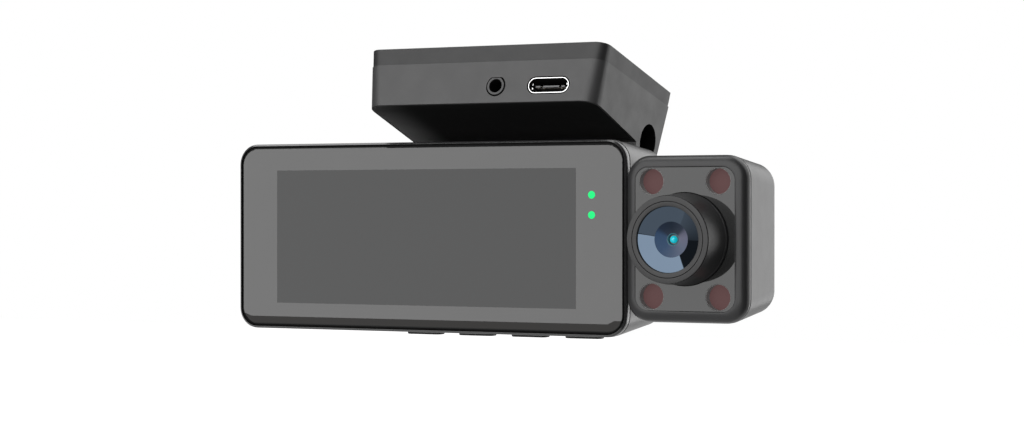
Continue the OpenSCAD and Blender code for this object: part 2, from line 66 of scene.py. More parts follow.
# ---------------------------------------------------------------- dimensions shared with the CAD
# screen body and pod
GLASS_Y = -19.7
MID_Z = -34.9
POD_Z = MID_Z - 0.05
BODY_X = -12.25
POD_X = 45.05
BODY_W, BODY_H, BODY_D, BODY_R = 89.2, 38.5, 27.0, 4.2
POD_W, POD_H, POD_D, POD_R = 25.0, 32.0, 20.0, 4.6
BODY_LEFT, BODY_RIGHT = BODY_X - BODY_W / 2, BODY_X + BODY_W / 2
BODY_BOTTOM = MID_Z - BODY_H / 2
POD_LEFT = POD_X - POD_W / 2
SHELL_Y = 2.25
PIVOT_Y = GLASS_Y + 10
KEY_X0, KEY_PITCH, KEY_Y, KEY_W, KEY_D = -3.8, 12.0, 8.0, 7.8, 3.0
POST_X, POST_Z = 38.4, 12.9
ROAD_Z = MID_Z - 2.7
LED_DX, LED_DZ = 6.85, 11.0
# bracket, in its own tilted axes
TILT = math.radians(14.8)
BRACKET_W, BRACKET_L, BRACKET_H = 53.8, 34.2, 12.05
PAD_T = 0.8
SEAM_Z = -PAD_T - 3.25
SEAM_LEAN = math.radians(0.8)
FLOOR_Z = -PAD_T - BRACKET_H
FRONT_Y = -BRACKET_L / 2
REAR_LEAN = math.radians(6.8)
DRAFT = 1.2 / BRACKET_H
CORNER_E = (4.2, -14.62)
COVER_INSET = 0.15
PORT_Z = FLOOR_Z + 3.35
JACK_X = 3.8
JACK_Z = PORT_Z + 0.1
USB_X = 15.42
# hinge between the two
HINGE_Y = GLASS_Y + 26.2
HINGE_Z = MID_Z + 19.3
EAR_R = 5.6
EAR_IN = 19.7
KNUCKLE_R = 3.9
KNUCKLE_HALF = 19.25

IN_BRACKET = Matrix.Rotation(-TILT, 4, "X")

# ---------------------------------------------------------------- materials
PATCH = 90
COAT_ROUGH = 0.05


def new_material(name):
    """An empty node material and its principled shader."""
    material = bpy.data.materials.new(name)
    material.use_nodes = True
    shader = material.node_tree.nodes["Principled BSDF"]
    return material, shader


def noise_node(tree, scale, detail=4.0, rough=0.55, stretch=(1, 1, 1)):
    """Noise in the object's own metres, so that its grain has a real size."""
    coords = tree.nodes.new("ShaderNodeTexCoord")
    mapping = tree.nodes.new("ShaderNodeMapping")
    mapping.inputs["Scale"].default_value = stretch
    noise = tree.nodes.new("ShaderNodeTexNoise")
    noise.inputs["Scale"].default_value = scale
    noise.inputs["Detail"].default_value = detail
    noise.inputs["Roughness"].default_value = rough
    tree.links.new(coords.outputs["Object"], mapping.inputs["Vector"])
    tree.links.new(mapping.outputs["Vector"], noise.inputs["Vector"])
    return noise


def ramp_node(tree, source, low, high, start=0.35, end=0.65):
    """Maps a 0 to 1 value onto a range of greys or colours."""
    ramp = tree.nodes.new("ShaderNodeValToRGB")
    ramp.color_ramp.elements[0].position = start
    ramp.color_ramp.elements[1].position = end
    ramp.color_ramp.elements[0].color = (*low, 1)
    ramp.color_ramp.elements[1].color = (*high, 1)
    tree.links.new(source, ramp.inputs["Fac"])
    return ramp


def range_node(tree, source, low, high, to_low=0.0, to_high=1.0, interpolation="LINEAR"):
    """Maps a value between low and high onto another range."""
    node = tree.nodes.new("ShaderNodeMapRange")
    node.interpolation_type = interpolation
    node.inputs["From Min"].default_value = low
    node.inputs["From Max"].default_value = high
    node.inputs["To Min"].default_value = to_low
    node.inputs["To Max"].default_value = to_high
    tree.links.new(source, node.inputs["Value"])
    return node.outputs["Result"]


def place_axes(tree, centre=(0, 0, 0)):
    """X, Y and Z of the place on the object, from a centre in metres."""
    coords = tree.nodes.new("ShaderNodeTexCoord")
    offset = tree.nodes.new("ShaderNodeVectorMath")
    offset.operation = "SUBTRACT"
    offset.inputs[1].default_value = centre
    axes = tree.nodes.new("ShaderNodeSeparateXYZ")
    tree.links.new(coords.outputs["Object"], offset.inputs[0])
    tree.links.new(offset.outputs["Vector"], axes.inputs["Vector"])
    return axes.outputs


def finish_material(name, base, rough, spread=0.03, tint=0.03, grain=2600, bump=0.12, depth=0.00004,
                    metallic=0.0, specular=0.5, coat=0.0, stretch=(1, 1, 1), emission=None, emission_strength=1.0):
    """Moulded, painted or plated surface.

    Its colour drifts by tint in patches, its roughness varies by spread, and a fine grain stands in the normal.
    """
    material, shader = new_material(name)
    tree = material.node_tree
    drift = noise_node(tree, PATCH, 3.0)
    dark = [c * (1 - tint) for c in base]
    light = [c * (1 + tint) for c in base]
    colour = ramp_node(tree, drift.outputs["Fac"], dark, light)
    tree.links.new(colour.outputs["Color"], shader.inputs["Base Color"])
    wear = noise_node(tree, PATCH * 3.1, 5.0, 0.6, stretch)
    low = max(0.02, rough - spread)
    high = min(1.0, rough + spread)
    gloss = ramp_node(tree, wear.outputs["Fac"], (low,) * 3, (high,) * 3)
    tree.links.new(gloss.outputs["Color"], shader.inputs["Roughness"])
    if bump > 0:
        fine = noise_node(tree, grain, 2.0, 0.5, stretch)
        bumps = tree.nodes.new("ShaderNodeBump")
        bumps.inputs["Strength"].default_value = bump
        bumps.inputs["Distance"].default_value = depth
        tree.links.new(fine.outputs["Fac"], bumps.inputs["Height"])
        tree.links.new(bumps.outputs["Normal"], shader.inputs["Normal"])
    shader.inputs["Metallic"].default_value = metallic
    shader.inputs["Specular IOR Level"].default_value = specular
    shader.inputs["Coat Weight"].default_value = coat
    shader.inputs["Coat Roughness"].default_value = COAT_ROUGH
    if emission:
        shader.inputs["Emission Color"].default_value = (*emission, 1)
        shader.inputs["Emission Strength"].default_value = emission_strength
    return material


# painted reflection: tints by place around the axis stand in for the lit and dark sectors that the lens reflects; 0
# and 1 at the left, 0.25 below, 0.5 at the right, 0.75 on top
LENS_PAINTED_REFLECTION = [
    (0.0, (0.012, 0.028, 0.059)),
    (0.12, (0.014, 0.03, 0.062)),
    (0.25, (0.027, 0.041, 0.069)),
    (0.4, (0.05, 0.06, 0.088)),
    (0.52, (0.06, 0.062, 0.09)),
    (0.57, (0.05, 0.052, 0.075)),
    (0.62, (0.012, 0.016, 0.025)),
    (0.75, (0.005, 0.0085, 0.0153)),
    (0.88, (0.0055, 0.01, 0.02)),
    (0.94, (0.011, 0.026, 0.055)),
    (1.0, (0.012, 0.028, 0.059)),
]
LENS_PAINTED_GLOW = 0.6


def painted_reflection_lens_material(name):
    """Lens with a painted reflection: its tint turns from navy at the top through blue to violet grey around the
    axis, and it glows in that tint as painted light.
    """
    material = finish_material(name, (0.02, 0.03, 0.05), 0.3, bump=0.0, specular=0.08)
    tree = material.node_tree
    shader = tree.nodes["Principled BSDF"]
    place = place_axes(tree, (POD_X * MM, 0, POD_Z * MM))
    turn = tree.nodes.new("ShaderNodeMath")
    turn.operation = "ARCTAN2"
    tree.links.new(place["Z"], turn.inputs[0])
    tree.links.new(place["X"], turn.inputs[1])
    around = range_node(tree, turn.outputs["Value"], -math.pi, math.pi)
    ramp = ramp_node(tree, around, LENS_PAINTED_REFLECTION[0][1], LENS_PAINTED_REFLECTION[-1][1], 0.0, 1.0)
    for stop, colour in LENS_PAINTED_REFLECTION[1:-1]:
        ramp.color_ramp.elements.new(stop).color = (*colour, 1)
    tree.links.new(ramp.outputs["Color"], shader.inputs["Base Color"])
    # painted glow: the painted reflection tint also feeds the emission
    tree.links.new(ramp.outputs["Color"], shader.inputs["Emission Color"])
    shader.inputs["Emission Strength"].default_value = LENS_PAINTED_GLOW
    return material


# painted light and shade under the bracket: black where the body shades it, grey toward the left end where light
# reaches it
PAINTED_LIGHT_FROM, PAINTED_LIGHT_TO = -27.0, -15.5
PAINTED_LIGHT_GREY, PAINTED_SHADE_BLACK = (0.045, 0.045, 0.045), (0.003, 0.003, 0.003)
PAINTED_LIGHT_FRONT, PAINTED_LIGHT_REAR = 0.8, 8.0


def painted_shade_underside_material(name):
    """Underside painted black as shade, with painted light that turns it dark grey toward its left end, more so
    toward the rear.
    """
    material = finish_material(name, (0.004, 0.004, 0.004), 0.7, specular=0.12, bump=0.3)
    tree = material.node_tree
    shader = tree.nodes["Principled BSDF"]
    place = place_axes(tree)
    across = range_node(tree, place["X"], PAINTED_LIGHT_FROM * MM, PAINTED_LIGHT_TO * MM, interpolation="SMOOTHSTEP")
    ramp = ramp_node(tree, across, PAINTED_LIGHT_GREY, PAINTED_SHADE_BLACK, 0.0, 1.0)
    along = range_node(tree, place["Y"], FRONT_Y * MM, CORNER_E[0] * MM, PAINTED_LIGHT_FRONT, PAINTED_LIGHT_REAR)
    lift = tree.nodes.new("ShaderNodeVectorMath")
    lift.operation = "SCALE"
    tree.links.new(ramp.outputs["Color"], lift.inputs[0])
    tree.links.new(along, lift.inputs["Scale"])
    tree.links.new(lift.outputs["Vector"], shader.inputs["Base Color"])
    return material


M = {
    # plastics
    "housing": finish_material("moulded_dark_plastic", (0.021, 0.021, 0.0213), 0.5, bump=0.2, specular=0.54),
    "shell": finish_material("moulded_shell_plastic", (0.027, 0.027, 0.0275), 0.34, spread=0.01),
    # painted shade: the pod's case is a darker copy of the shell plastic
    "pod_case": finish_material("pod_plastic_painted_shade", (0.018, 0.018, 0.0184), 0.34, spread=0.01, specular=0.24),
    "cover": finish_material("cover_plastic", (0.0095, 0.0095, 0.0098), 0.5, bump=0.2, specular=0.42),
    # painted shade and painted light on the under panel
    "underpan": painted_shade_underside_material("underside_painted_shade"),
    "frame": finish_material("satin_frame", (0.014, 0.014, 0.0145), 0.24, bump=0.04, specular=0.6),
    "pod_frame": finish_material("satin_pod_frame", (0.014, 0.014, 0.0145), 0.36, spread=0.015, bump=0.06,
                                 specular=0.34),
    # painted shade: near-black for groove floors, hole walls and the gap round the glass
    "gap": finish_material("painted_shade_dark_gap", (0.002, 0.002, 0.002), 0.8, bump=0.0, specular=0.05),
    "keys": finish_material("silicone_keys", (0.008, 0.008, 0.0082), 0.55, bump=0.2, specular=0.2),
    "foam": finish_material("foam_pad", (0.03, 0.03, 0.032), 0.9, grain=1400, bump=0.8, depth=0.0002,
                            specular=0.2),
    "black": finish_material("black_plastic", (0.012, 0.012, 0.012), 0.45, bump=0.15),
    "tongue": finish_material("socket_tongue", (0.09, 0.09, 0.092), 0.5, bump=0.1),
    "lead": finish_material("lead_insulation", (0.02, 0.02, 0.02), 0.5, bump=0.1),
    # glass
    "glass": finish_material("tinted_glass", (0.038, 0.0378, 0.0376), 0.03, spread=0.01, tint=0.02, bump=0.0),
    "glass_edge": finish_material("glass_edge", (0.009, 0.009, 0.009), 0.12, spread=0.02, bump=0.0,
                                  specular=0.15),
    "chin": finish_material("glass_lower_edge", (0.008, 0.007, 0.0062), 0.05, spread=0.02, bump=0.0),
    "lcd": finish_material("display_face", (0.005, 0.0053, 0.0053), 0.03, spread=0.01, tint=0.02, bump=0.0,
                           specular=0.4),
    "window": finish_material("glossy_window", (0.008, 0.0082, 0.0082), 0.015, spread=0.005, bump=0.0),
    # metals, boards and ceramics
    "barrel": finish_material("anodised_barrel", (0.012, 0.012, 0.0125), 0.38, spread=0.015, bump=0.08,
                              specular=0.35),
    "barrel_ring": finish_material("barrel_face", (0.02, 0.02, 0.0205), 0.42, bump=0.08, specular=0.3),
    "steel": finish_material("plated_steel", (0.6, 0.6, 0.6), 0.28, metallic=1.0, stretch=(1, 12, 1), bump=0.1),
    "bright": finish_material("bright_plating", (0.85, 0.85, 0.85), 0.16, metallic=1.0, bump=0.03),
    "oxide": finish_material("black_oxide_steel", (0.01, 0.01, 0.01), 0.5, metallic=1.0, bump=0.1),
    "alu": finish_material("extruded_aluminium", (0.7, 0.7, 0.71), 0.35, metallic=1.0, stretch=(1, 20, 1)),
    "contacts": finish_material("plated_contacts", (0.3, 0.27, 0.22), 0.3, metallic=1.0, bump=0.03),
    "board": finish_material("solder_mask", (0.015, 0.09, 0.035), 0.35, grain=700, bump=0.3, coat=0.4),
    "ceramic": finish_material("ceramic_patch", (0.42, 0.35, 0.25), 0.6, bump=0.2),
    # lenses
    "cone": finish_material("coated_cone", (0.067, 0.09, 0.121), 0.02, spread=0.005, tint=0.02, metallic=1.0,
                            bump=0.0),
    # painted reflection and painted glow on the inner lens
    "inner_lens": painted_reflection_lens_material("inner_lens_painted_reflection"),
    "lens_dark": finish_material("coated_lens", (0.015, 0.03, 0.06), 0.06, spread=0.02, specular=0.8, coat=0.8,
                                 bump=0.0),
    # painted glow: the teal ring and the bright core glow though they give no light, as a painted highlight
    "lens_teal": finish_material("teal_ring_painted_glow", (0.015, 0.05, 0.065), 0.15, bump=0.0,
                                 emission=(0.02, 0.07, 0.09), emission_strength=0.4),
    "lens_pit": finish_material("dark_pit", (0.003, 0.012, 0.016), 0.2, bump=0.0),
    "lens_core_painted_glow": finish_material("lens_core_painted_glow", (0.006, 0.24, 0.28), 0.12, bump=0.0,
                                 emission=(0.002, 0.36, 0.44), emission_strength=0.7),
    # lights
    # painted light: the infrared window and its sleeve glow so that they show flat and unshaded in their holes
    "red": finish_material("infrared_window_painted_glow", (0.025, 0.01, 0.01), 0.6, bump=0.05, specular=0.1,
                           emission=(0.085, 0.047, 0.047)),
    "sleeve": finish_material("led_sleeve_painted_glow", (0.16, 0.16, 0.16), 0.6, bump=0.05,
                              emission=(0.012, 0.012, 0.012)),
    "green": finish_material("green_light", (0.002, 0.05, 0.012), 0.4, bump=0.0, specular=0.1,
                             emission=(0.012, 0.9, 0.235)),
}

# ---------------------------------------------------------------- mesh helpers


def arc(cx, cz, r, start, end, steps):
    """Points of an arc in degrees."""
    points = []
    for i in range(steps + 1):
        a = math.radians(start + (end - start) * i / max(1, steps))
        points.append((cx + r * math.cos(a), cz + r * math.sin(a)))
    return points


def rounded_loop(w, h, r, seg=10, cx=0.0, cz=0.0):
    """Corner arcs of a rounded rectangle as one closed loop of points."""
    points = []
    for sx, sz, start in ((1, 1, 0), (-1, 1, 90), (-1, -1, 180), (1, -1, 270)):
        for i in range(seg + 1):
            a = math.radians(start + 90 * i / seg)
            x = cx + sx * (w / 2 - r) + r * math.cos(a)
            z = cz + sz * (h / 2 - r) + r * math.sin(a)
            points.append((x, z))
    return points


def circle_loop(r, seg=64, cx=0.0, cz=0.0):
    """Points of a circle, without a repeated last point."""
    turns = [2 * math.pi * i / seg for i in range(seg)]
    return [(cx + r * math.cos(a), cz + r * math.sin(a)) for a in turns]


def stadium_loop(w, h, seg=14, cx=0.0, cz=0.0):
    """A slot's outline: a rectangle with round ends."""
    return rounded_loop(w, h, h / 2 - 0.001, seg, cx, cz)


def at_y(loop, y):
    """An XZ loop at depth y."""
    return [(x, y, z) for x, z in loop]


def at_z(loop, z):
    """An XY loop at height z."""
    return [(x, y, z) for x, y in loop]


def refinish(obj, material):
    """Gives the whole object one material."""
    obj.data.materials.clear()
    obj.data.materials.append(material)


def tidy(obj, sharp=30.0):
    """Outward normals, smooth faces, sharp edges by angle."""
    bm = bmesh.new()
    bm.from_mesh(obj.data)
    bmesh.ops.remove_doubles(bm, verts=bm.verts, dist=0.000002)
    bmesh.ops.recalc_face_normals(bm, faces=bm.faces)
    bm.to_mesh(obj.data)
    bm.free()
    obj.data.polygons.foreach_set("use_smooth", [True] * len(obj.data.polygons))
    obj.data.set_sharp_from_angle(angle=math.radians(sharp))
    obj.data.update()


def build(name, verts, faces, material, sharp=30.0, face_slots=None, extra=()):
    """A mesh object with smooth shading, outward normals and edges kept sharp past an angle."""
    mesh = bpy.data.meshes.new(name)
    mesh.from_pydata([tuple(c * MM for c in v) for v in verts], [], faces)
    for each in (material, *extra):
        mesh.materials.append(each)
    if face_slots:
        mesh.polygons.foreach_set("material_index", face_slots)
    obj = bpy.data.objects.new(name, mesh)
    bpy.context.scene.collection.objects.link(obj)
    tidy(obj, sharp)
    return obj


def loft(name, loops, material, ring=False, sharp=30.0, slots=None, extra=(), cap_slots=(0, 0)):
    """Skins equal loops of 3-D points and caps both ends; ring joins the last loop to the first instead.

    slots numbers a material for each band between two loops, from material and extra.
    """
    count = len(loops[0])
    verts = [p for loop in loops for p in loop]
    faces = []
    face_slots = []
    bands = len(loops) if ring else len(loops) - 1
    for b in range(bands):
        base = b * count
        following = ((b + 1) % len(loops)) * count
        for i in range(count):
            j = (i + 1) % count
            faces.append((base + i, base + j, following + j, following + i))
            face_slots.append(slots[b] if slots else 0)
    if not ring:
        last = (len(loops) - 1) * count
        faces.append(tuple(range(count))[::-1])
        faces.append(tuple(range(last, last + count)))
        face_slots += cap_slots
    return build(name, verts, faces, material, sharp, face_slots, extra)


def lathe_y(name, profile, cx, cz, y0, material, seg=72, slots=None, extra=(), sharp=30.0):
    """Turns (radius, depth) points about an axis along Y; a radius of 0 closes the end."""
    verts = []
    rings = []
    for r, y in profile:
        start = len(verts)
        if r <= 0:
            verts.append((cx, y0 + y, cz))
        else:
            verts += at_y(circle_loop(r, seg, cx, cz), y0 + y)
        rings.append(range(start, len(verts)))
    faces = []
    face_slots = []
    for b, (one, two) in enumerate(zip(rings, rings[1:])):
        for i in range(seg):
            j = (i + 1) % seg
            if len(one) == 1:
                faces.append((one[0], two[j], two[i]))
            elif len(two) == 1:
                faces.append((one[i], one[j], two[0]))
            else:
                faces.append((one[i], one[j], two[j], two[i]))
            face_slots.append(slots[b] if slots else 0)
    return build(name, verts, faces, material, sharp, face_slots, extra)


def prism(name, loop, axis, low, high, material):
    """A closed loop of 2-D points run along one axis: (x, y) along z, (x, z) along y, (y, z) along x."""
    place = {
        "x": lambda u, v, w: (w, u, v),
        "y": lambda u, v, w: (u, w, v),
        "z": lambda u, v, w: (u, v, w),
    }[axis]
    loops = [[place(u, v, w) for u, v in loop] for w in (low, high)]
    return loft(name, loops, material)


def cylinder_x(name, r, x0, x1, y, z, seg=64):
    """A round bar along X, for cutting and joining."""
    return prism(name, circle_loop(r, seg, y, z), "x", x0, x1, M["gap"])


def cylinder_y(name, r, x, z, y0, y1, seg=40):
    """A round bar along Y, for cutting."""
    return prism(name, circle_loop(r, seg, x, z), "y", y0, y1, M["gap"])


def combine(obj, tools, operation="DIFFERENCE", sharp=30.0, keep_finish=False):
    """Boolean of obj with each tool, baked in; the tools are used up.

    keep_finish gives the cut faces their tool's finish, for most cutters the near-black painted shade.
    """
    for tool in tools:
        modifier = obj.modifiers.new("shape", "BOOLEAN")
        modifier.operation = operation
        modifier.object = tool
        modifier.solver = "EXACT"
        if keep_finish:
            modifier.material_mode = "TRANSFER"
    bpy.context.view_layer.update()
    graph = bpy.context.evaluated_depsgraph_get()
    mesh = bpy.data.meshes.new_from_object(obj.evaluated_get(graph))
    obj.modifiers.clear()
    obj.data = mesh
    tidy(obj, sharp)
    for tool in tools:
        bpy.data.objects.remove(tool)


def soften(obj, width, segments=3, angle=32.0):
    """Small rounds on edges past an angle, with flat faces kept flat."""
    modifier = obj.modifiers.new("edges", "BEVEL")
    modifier.width = width * MM
    modifier.segments = segments
    modifier.limit_method = "ANGLE"
    modifier.angle_limit = math.radians(angle)
    modifier.use_clamp_overlap = True
    weighted = obj.modifiers.new("normals", "WEIGHTED_NORMAL")
    weighted.keep_sharp = False
    weighted.weight = 80


def put(obj, body, replaced=(), matrix=None):
    """Sets a piece in place on its body and hides the CAD nodes it stands for."""
    if matrix is not None:
        obj.data.transform(matrix)
        obj.data.update()
    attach(obj, body)
    if replaced:
        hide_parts(*replaced)


# ---------------------------------------------------------------- screen glass and its rim
RIM_W = 0.46
GLASS_IN = 0.5
GLASS_T = 1.5
FLAT_LEFT, FLAT_RIGHT, FLAT_TOP, FLAT_BOTTOM = 1.36, 0.68, 1.15, 1.19
EDGE_D = 0.86
CHIN_Z = MID_Z - 16.68
CHIN_SLOPE = 0.16
LCD_W, LCD_H, LCD_R = 69.0, 27.57, 0.12
LCD_X = BODY_X - 0.45
LCD_Z = MID_Z - 0.055
FINE = 24
CORNER_DROP = 0.85


def body_loop(inset, y, seg=10):
    """The body's outline drawn in by inset, at a depth behind the glass."""
    r = BODY_R - inset * CORNER_DROP
    return at_y(rounded_loop(BODY_W - 2 * inset, BODY_H - 2 * inset, r, seg, BODY_X, MID_Z), GLASS_Y + y)


def smooth_step(t):
    t = min(1.0, max(0.0, t))
    return t * t * (3 - 2 * t)


def chin_line(x):
    """Height of the crease above the lower slope; it lifts near both corners."""
    right = BODY_RIGHT - FLAT_RIGHT - x
    left = x - (BODY_LEFT + FLAT_LEFT)
    return CHIN_Z + 0.7 * smooth_step((3.4 - right) / 2.0) + 0.6 * smooth_step((2.2 - left) / 2.2)


flat_w = BODY_W - FLAT_LEFT - FLAT_RIGHT
flat_h = BODY_H - FLAT_TOP - FLAT_BOTTOM
flat_x = BODY_X + (FLAT_LEFT - FLAT_RIGHT) / 2
flat_z = MID_Z + (FLAT_BOTTOM - FLAT_TOP) / 2
flat_edge = []
crease = []
for x, z in rounded_loop(flat_w, flat_h, BODY_R - 0.95, FINE, flat_x, flat_z):
    top = chin_line(x)
    flat_edge.append((x, GLASS_Y + CHIN_SLOPE * max(0.0, top - z), z))
    crease.append((x, GLASS_Y, max(z, top)))
display_edge = at_y(rounded_loop(LCD_W, LCD_H, LCD_R, FINE, LCD_X, LCD_Z), GLASS_Y)
glass_loops = [body_loop(GLASS_IN, GLASS_T, FINE), body_loop(GLASS_IN, EDGE_D, FINE), flat_edge, crease, display_edge]
glass = loft("screen_glass_front", glass_loops, M["glass"], slots=[1, 1, 2, 0],
             extra=(M["glass_edge"], M["chin"], M["lcd"]), cap_slots=(1, 3), sharp=4)
put(glass, "screen_body", ("screen_glass",))

# inset and depth, from behind the glass round the thin front edge to the seam
rim_profile = [(RIM_W, 1.9), (RIM_W, 0.52), (0.43, 0.43), (0.37, 0.41), (0.07, 0.7), (0.02, 0.8), (0.0, 0.95),
               (0.0, 2.0), (0.06, 2.12), (0.2, 2.18), (1.2, 2.2), (1.2, 1.9)]
# the rim's inner wall and its back take the near-black painted shade
rim = loft("front_rim", [body_loop(i, y) for i, y in rim_profile], M["frame"], ring=True, sharp=50,
           slots=[1] + [0] * 9 + [1, 1], extra=(M["gap"],))
put(rim, "screen_body", ("front_frame",))

# painted shade: a near-black ring behind the gap between glass and rim
gap_profile = [(RIM_W, 1.52), (1.3, 1.52), (1.3, 1.8), (RIM_W, 1.8)]
gap_floor = loft("glass_gap_painted_shade", [body_loop(i, y) for i, y in gap_profile], M["gap"], ring=True)
put(gap_floor, "screen_body")

# ---------------------------------------------------------------- rear shell
SHELL_TAPER, SHELL_EDGE, SHELL_WALL = 1.3, 7.0, 1.6
SHRINK = 0.8
MIN_R = 0.8
SEAM_LIP = 0.15
CHANNEL_R = EAR_R + 0.5
CHANNEL_HALF = 26.7
CHANNEL_WALL = 1.3
SCREW_HOLE_R = 1.7
SLOT_W, SLOT_PITCH = 1.1, 2.6
GRILLE_X, GRILLE_Z, GRILLE_L = BODY_X + 29, MID_Z - 3, 13
VENT_X, VENT_Z, VENT_L = BODY_X - 38, MID_Z + 2, 14
PINHOLE_XS = (BODY_X - 14, BODY_X - 20)
PINHOLE_R = 0.6
CARD_W, CARD_T, CARD_Y = 11.6, 1.4, GLASS_Y + 8.7
ROAD_HOLE_R = 9.2
BUSH_HOLE_R = 5.65
REAR_Y = GLASS_Y + BODY_D


def case_loops(w, h, r, cx, cz, y0, y1, taper, edge, seg=10, steps=10):
    """Tapered walls and a rounded rear, front to rear."""
    loops = [at_y(rounded_loop(w, h, r, seg, cx, cz), y0)]
    for i in range(steps + 1):
        a = math.radians(90 * i / steps)
        inset = edge * (1 - math.cos(a))
        radius = max(MIN_R, r - inset * SHRINK)
        outline = rounded_loop(w - 2 * taper - 2 * inset, h - 2 * taper - 2 * inset, radius, seg, cx, cz)
        loops.append(at_y(outline, y1 - edge * (1 - math.sin(a))))
    return loops


def cup(name, w, h, r, cx, cz, y0, y1, taper, edge, wall, material, lip=SEAM_LIP, seg=10):
    """A hollow case open at the front, with a small lip at its seam."""
    inner = case_loops(w - 2 * wall, h - 2 * wall, max(MIN_R, r - wall * SHRINK), cx, cz, y0, y1 - wall, taper,
                       max(0.6, edge - wall), seg)
    outer = case_loops(w, h, r, cx, cz, y0 + lip, y1, taper, edge, seg)
    seam = at_y(rounded_loop(w - 2 * lip, h - 2 * lip, r - lip * 0.6, seg, cx, cz), y0)
    return loft(name, inner[::-1] + [seam] + outer, material, sharp=38)


def channel_lining():
    """The wall round the hinge channel, kept inside the case."""
    half = CHANNEL_HALF + CHANNEL_WALL
    lining = cylinder_x("lining", CHANNEL_R + CHANNEL_WALL, -half, half, HINGE_Y, HINGE_Z)
    inside = case_loops(BODY_W - 0.6, BODY_H - 0.6, BODY_R, BODY_X, MID_Z, GLASS_Y + SHELL_Y + 1, REAR_Y - 0.3,
                        SHELL_TAPER, SHELL_EDGE)
    combine(lining, [loft("keep_in", inside, M["shell"])], "INTERSECT")
    refinish(lining, M["shell"])
    return lining


def shell_cuts():
    """Everything that is cut out of the case: channel, keys, screws, grille, vents, pinholes, card, lens and bush."""
    cuts = [cylinder_x("channel", CHANNEL_R, -CHANNEL_HALF, CHANNEL_HALF, HINGE_Y, HINGE_Z, 96)]
    for i in range(4):
        key_x = BODY_X + KEY_X0 + i * KEY_PITCH
        outline = rounded_loop(KEY_W + 0.3, KEY_D + 0.3, 0.9, 6, key_x, GLASS_Y + KEY_Y)
        cuts.append(prism("key_cut", outline, "z", BODY_BOTTOM - 1, BODY_BOTTOM + 3, M["gap"]))
    for sx in (-1, 1):
        for sz in (-1, 1):
            cuts.append(cylinder_y("screw_cut", SCREW_HOLE_R, BODY_X + sx * POST_X, MID_Z + sz * POST_Z,
                                   GLASS_Y + 14, REAR_Y + 3))
    for i in range(5):
        outline = stadium_loop(GRILLE_L, SLOT_W, 8, GRILLE_X, GRILLE_Z + (i - 2) * SLOT_PITCH)
        cuts.append(prism("grille_cut", outline, "y", REAR_Y - 3, REAR_Y + 1, M["gap"]))
    for i in range(6):
        outline = [(VENT_X + i * SLOT_PITCH - z, VENT_Z + x) for x, z in stadium_loop(VENT_L, SLOT_W, 8)]
        cuts.append(prism("vent_cut", outline, "y", REAR_Y - 5, REAR_Y + 1, M["gap"]))
    for x in PINHOLE_XS:
        outline = circle_loop(PINHOLE_R, 24, x, GLASS_Y + KEY_Y)
        cuts.append(prism("pin_cut", outline, "z", MID_Z - 20, MID_Z - 17, M["gap"]))
    outline = rounded_loop(CARD_T, CARD_W, 0.3, 4, CARD_Y, MID_Z)
    cuts.append(prism("card_cut", outline, "x", BODY_LEFT - 1, BODY_LEFT + 4, M["gap"]))
    cuts.append(cylinder_y("road_cut", ROAD_HOLE_R, BODY_X, ROAD_Z, REAR_Y - 3, REAR_Y + 3, 80))
    cuts.append(cylinder_x("bush_cut", BUSH_HOLE_R, BODY_RIGHT - 1, BODY_RIGHT + 2, PIVOT_Y, POD_Z))
    return cuts


shell = cup("rear_casing", BODY_W, BODY_H, BODY_R, BODY_X, MID_Z, GLASS_Y + SHELL_Y, REAR_Y, SHELL_TAPER,
            SHELL_EDGE, SHELL_WALL, M["shell"])
combine(shell, [channel_lining()], "UNION")
combine(shell, shell_cuts(), "DIFFERENCE", 38)
soften(shell, 0.22, 3, 38)
put(shell, "screen_body", ("rear_shell",))

# ---------------------------------------------------------------- hinge knuckle
WEB_FRONT, WEB_REAR = HINGE_Y - 3.7, HINGE_Y - 0.1
WEB_FOOT = HINGE_Z - 6.6
PIN_BORE_R = 2.02

knuckle = cylinder_x("knuckle_barrel", KNUCKLE_R, -KNUCKLE_HALF, KNUCKLE_HALF, HINGE_Y, HINGE_Z, 72)
refinish(knuckle, M["shell"])
web_outline = [(WEB_FRONT, WEB_FOOT), (WEB_REAR, WEB_FOOT), (WEB_REAR, HINGE_Z), (WEB_FRONT, HINGE_Z)]
combine(knuckle, [prism("web", web_outline, "x", -KNUCKLE_HALF + 1, KNUCKLE_HALF - 1, M["shell"])], "UNION")
combine(knuckle, [cylinder_x("pin_bore", PIN_BORE_R, -KNUCKLE_HALF - 1, KNUCKLE_HALF + 1, HINGE_Y, HINGE_Z, 48)])
soften(knuckle, 0.3, 3, 38)
put(knuckle, "screen_body")

# ---------------------------------------------------------------- road camera: radius and depth behind the glass
flange_profile = [(9.2, 26), (12.0, 26), (12.0, 29.6), (11.85, 29.85), (11.6, 30.0), (9.2, 30.0), (9.2, 26)]
road_flange = lathe_y("road_flange", flange_profile, BODY_X, ROAD_Z, GLASS_Y, M["shell"])
put(road_flange, "screen_body")

bezel_profile = [(8.25, 30.02), (11.2, 30.02), (11.2, 31.2), (11.1, 31.42), (10.9, 31.56), (10.6, 31.6),
                 (8.7, 31.6), (8.4, 31.5), (8.25, 31.3), (8.25, 30.02)]
bezel = lathe_y("road_bezel_ring", bezel_profile, BODY_X, ROAD_Z, GLASS_Y, M["pod_frame"])
put(bezel, "screen_body", ("road_bezel",))

